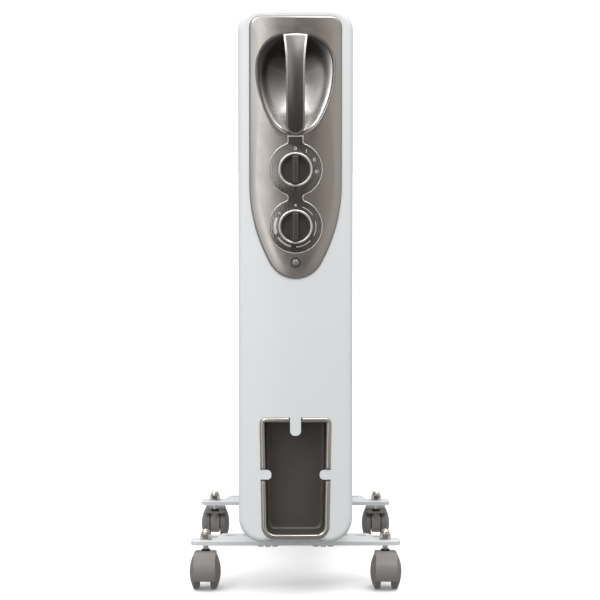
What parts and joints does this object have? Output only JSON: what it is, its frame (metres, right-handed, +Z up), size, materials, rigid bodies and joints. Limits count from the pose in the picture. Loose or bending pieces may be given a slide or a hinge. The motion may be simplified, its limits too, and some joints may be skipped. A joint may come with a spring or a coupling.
{
  "type": "oil filled radiator heater",
  "caption": "Upright oil filled column radiator with a front control panel, a bridge handle over a hand scoop, a cord storage recess and swivel casters.",
  "frame": {"origin": "on the floor, midway across and midway between the foremost and rearmost points", "axes": "+Z up, the control panel faces -Y, +X to the right of someone facing the panel"},
  "size_m": [0.2308, 0.3832, 0.625],
  "materials": {
    "cover": "smooth satin, light warm grey",
    "back": "semi-gloss enamel, off-white",
    "fascia": "pearl taupe lacquer, gloss",
    "handle": "pearl taupe lacquer, gloss",
    "bright_trim": "satin bright",
    "bezel": "fine grained, dark taupe",
    "knob": "satin, dark taupe",
    "spindle": "natural nylon",
    "control_body": "black phenolic moulding",
    "lamp_ring": "gloss, near black",
    "lens": "smoked translucent",
    "lamp_glass": "clear",
    "tray": "satin, dark taupe",
    "screw": "zinc plated",
    "fin": "semi-gloss enamel, off-white",
    "cap": "semi-gloss enamel, off-white",
    "plug": "turned",
    "gasket": "matt",
    "element": "drawn tube, plated flange",
    "terminal": "natural polyamide",
    "cutout": "black phenolic",
    "gland": "satin dark grey",
    "wire": "silicone insulation",
    "plate": "semi-gloss enamel, light grey",
    "fastener": "zinc plated",
    "stem": "turned, zinc plated",
    "collar": "satin black",
    "cap_nut": "nickel plated, polished",
    "caster": "satin grey taupe",
    "wheel": "satin grey taupe"
  },
  "bodies": {
    "radiator": {"front_cover": "cover", "back_plate": "back", "control_fascia": "fascia", "handle": "handle", "handle_trim": "bright_trim", "dial_bezel": "bezel", "bezel_trim": "bright_trim", "rotary_switch": "control_body", "thermostat": "control_body", "indicator_ring": "lamp_ring", "indicator_lens": "lens", "neon_lamp": "lamp_glass", "storage_tray": "tray", "housing_screws": "screw", "hub_caps": "cap", "oil_plug": "plug", "element_gasket": "gasket", "heating_element": "element", "terminal_block": "terminal", "thermal_cutout": "cutout", "cord_gland": "gland", "wiring": "wire", "front_foot_plate": "plate", "rear_foot_plate": "plate", "u_bolts": "fastener", "wing_nuts": "fastener", "caster_stems": "stem", "stem_collars": "collar", "nut_washers": "fastener", "dome_nuts": "cap_nut", "fin_1": "fin", "fin_2": "fin", "fin_3": "fin", "fin_4": "fin", "fin_5": "fin", "fin_6": "fin", "fin_7": "fin", "fin_8": "fin"},
    "power_dial": {"power_knob": "knob", "power_knob_ring": "bright_trim", "switch_spindle": "spindle"},
    "heat_dial": {"thermostat_knob": "knob", "thermostat_knob_ring": "bright_trim", "thermostat_spindle": "spindle"},
    "front_left_caster": {"front_left_hood": "caster", "front_left_axle": "stem"},
    "front_left_wheel_l": {"front_left_wheel_l": "wheel"},
    "front_left_wheel_r": {"front_left_wheel_r": "wheel"},
    "front_right_caster": {"front_right_hood": "caster", "front_right_axle": "stem"},
    "front_right_wheel_l": {"front_right_wheel_l": "wheel"},
    "front_right_wheel_r": {"front_right_wheel_r": "wheel"},
    "rear_left_caster": {"rear_left_hood": "caster", "rear_left_axle": "stem"},
    "rear_left_wheel_l": {"rear_left_wheel_l": "wheel"},
    "rear_left_wheel_r": {"rear_left_wheel_r": "wheel"},
    "rear_right_caster": {"rear_right_hood": "caster", "rear_right_axle": "stem"},
    "rear_right_wheel_l": {"rear_right_wheel_l": "wheel"},
    "rear_right_wheel_r": {"rear_right_wheel_r": "wheel"}
  },
  "joints": [
    {"name": "power_dial_turn", "type": "hinge", "parent": "radiator", "child": "power_dial", "pos_m": [0, -0.18563, 0.4572], "axis": [0, 1, 0], "range_deg": [0, 96]},
    {"name": "heat_dial_turn", "type": "hinge", "parent": "radiator", "child": "heat_dial", "pos_m": [0, -0.18563, 0.3978], "axis": [0, 1, 0], "range_deg": [0, 300]},
    {"name": "front_left_swivel", "type": "hinge", "parent": "radiator", "child": "front_left_caster", "pos_m": [-0.0984, -0.09463, 0.03], "axis": [0, 0, 1], "continuous": true},
    {"name": "front_left_wheel_l_spin", "type": "hinge", "parent": "front_left_caster", "child": "front_left_wheel_l", "pos_m": [-0.0984, -0.11063, 0.0195], "axis": [1, 0, 0], "continuous": true},
    {"name": "front_left_wheel_r_spin", "type": "hinge", "parent": "front_left_caster", "child": "front_left_wheel_r", "pos_m": [-0.0984, -0.11063, 0.0195], "axis": [1, 0, 0], "continuous": true},
    {"name": "front_right_swivel", "type": "hinge", "parent": "radiator", "child": "front_right_caster", "pos_m": [0.0984, -0.09463, 0.03], "axis": [0, 0, 1], "continuous": true},
    {"name": "front_right_wheel_l_spin", "type": "hinge", "parent": "front_right_caster", "child": "front_right_wheel_l", "pos_m": [0.0984, -0.11063, 0.0195], "axis": [1, 0, 0], "continuous": true},
    {"name": "front_right_wheel_r_spin", "type": "hinge", "parent": "front_right_caster", "child": "front_right_wheel_r", "pos_m": [0.0984, -0.11063, 0.0195], "axis": [1, 0, 0], "continuous": true},
    {"name": "rear_left_swivel", "type": "hinge", "parent": "radiator", "child": "rear_left_caster", "pos_m": [-0.0984, 0.13637, 0.03], "axis": [0, 0, 1], "continuous": true},
    {"name": "rear_left_wheel_l_spin", "type": "hinge", "parent": "rear_left_caster", "child": "rear_left_wheel_l", "pos_m": [-0.0984, 0.15237, 0.0195], "axis": [1, 0, 0], "continuous": true},
    {"name": "rear_left_wheel_r_spin", "type": "hinge", "parent": "rear_left_caster", "child": "rear_left_wheel_r", "pos_m": [-0.0984, 0.15237, 0.0195], "axis": [1, 0, 0], "continuous": true},
    {"name": "rear_right_swivel", "type": "hinge", "parent": "radiator", "child": "rear_right_caster", "pos_m": [0.0984, 0.13637, 0.03], "axis": [0, 0, 1], "continuous": true},
    {"name": "rear_right_wheel_l_spin", "type": "hinge", "parent": "rear_right_caster", "child": "rear_right_wheel_l", "pos_m": [0.0984, 0.15237, 0.0195], "axis": [1, 0, 0], "continuous": true},
    {"name": "rear_right_wheel_r_spin", "type": "hinge", "parent": "rear_right_caster", "child": "rear_right_wheel_r", "pos_m": [0.0984, 0.15237, 0.0195], "axis": [1, 0, 0], "continuous": true}
  ]
}
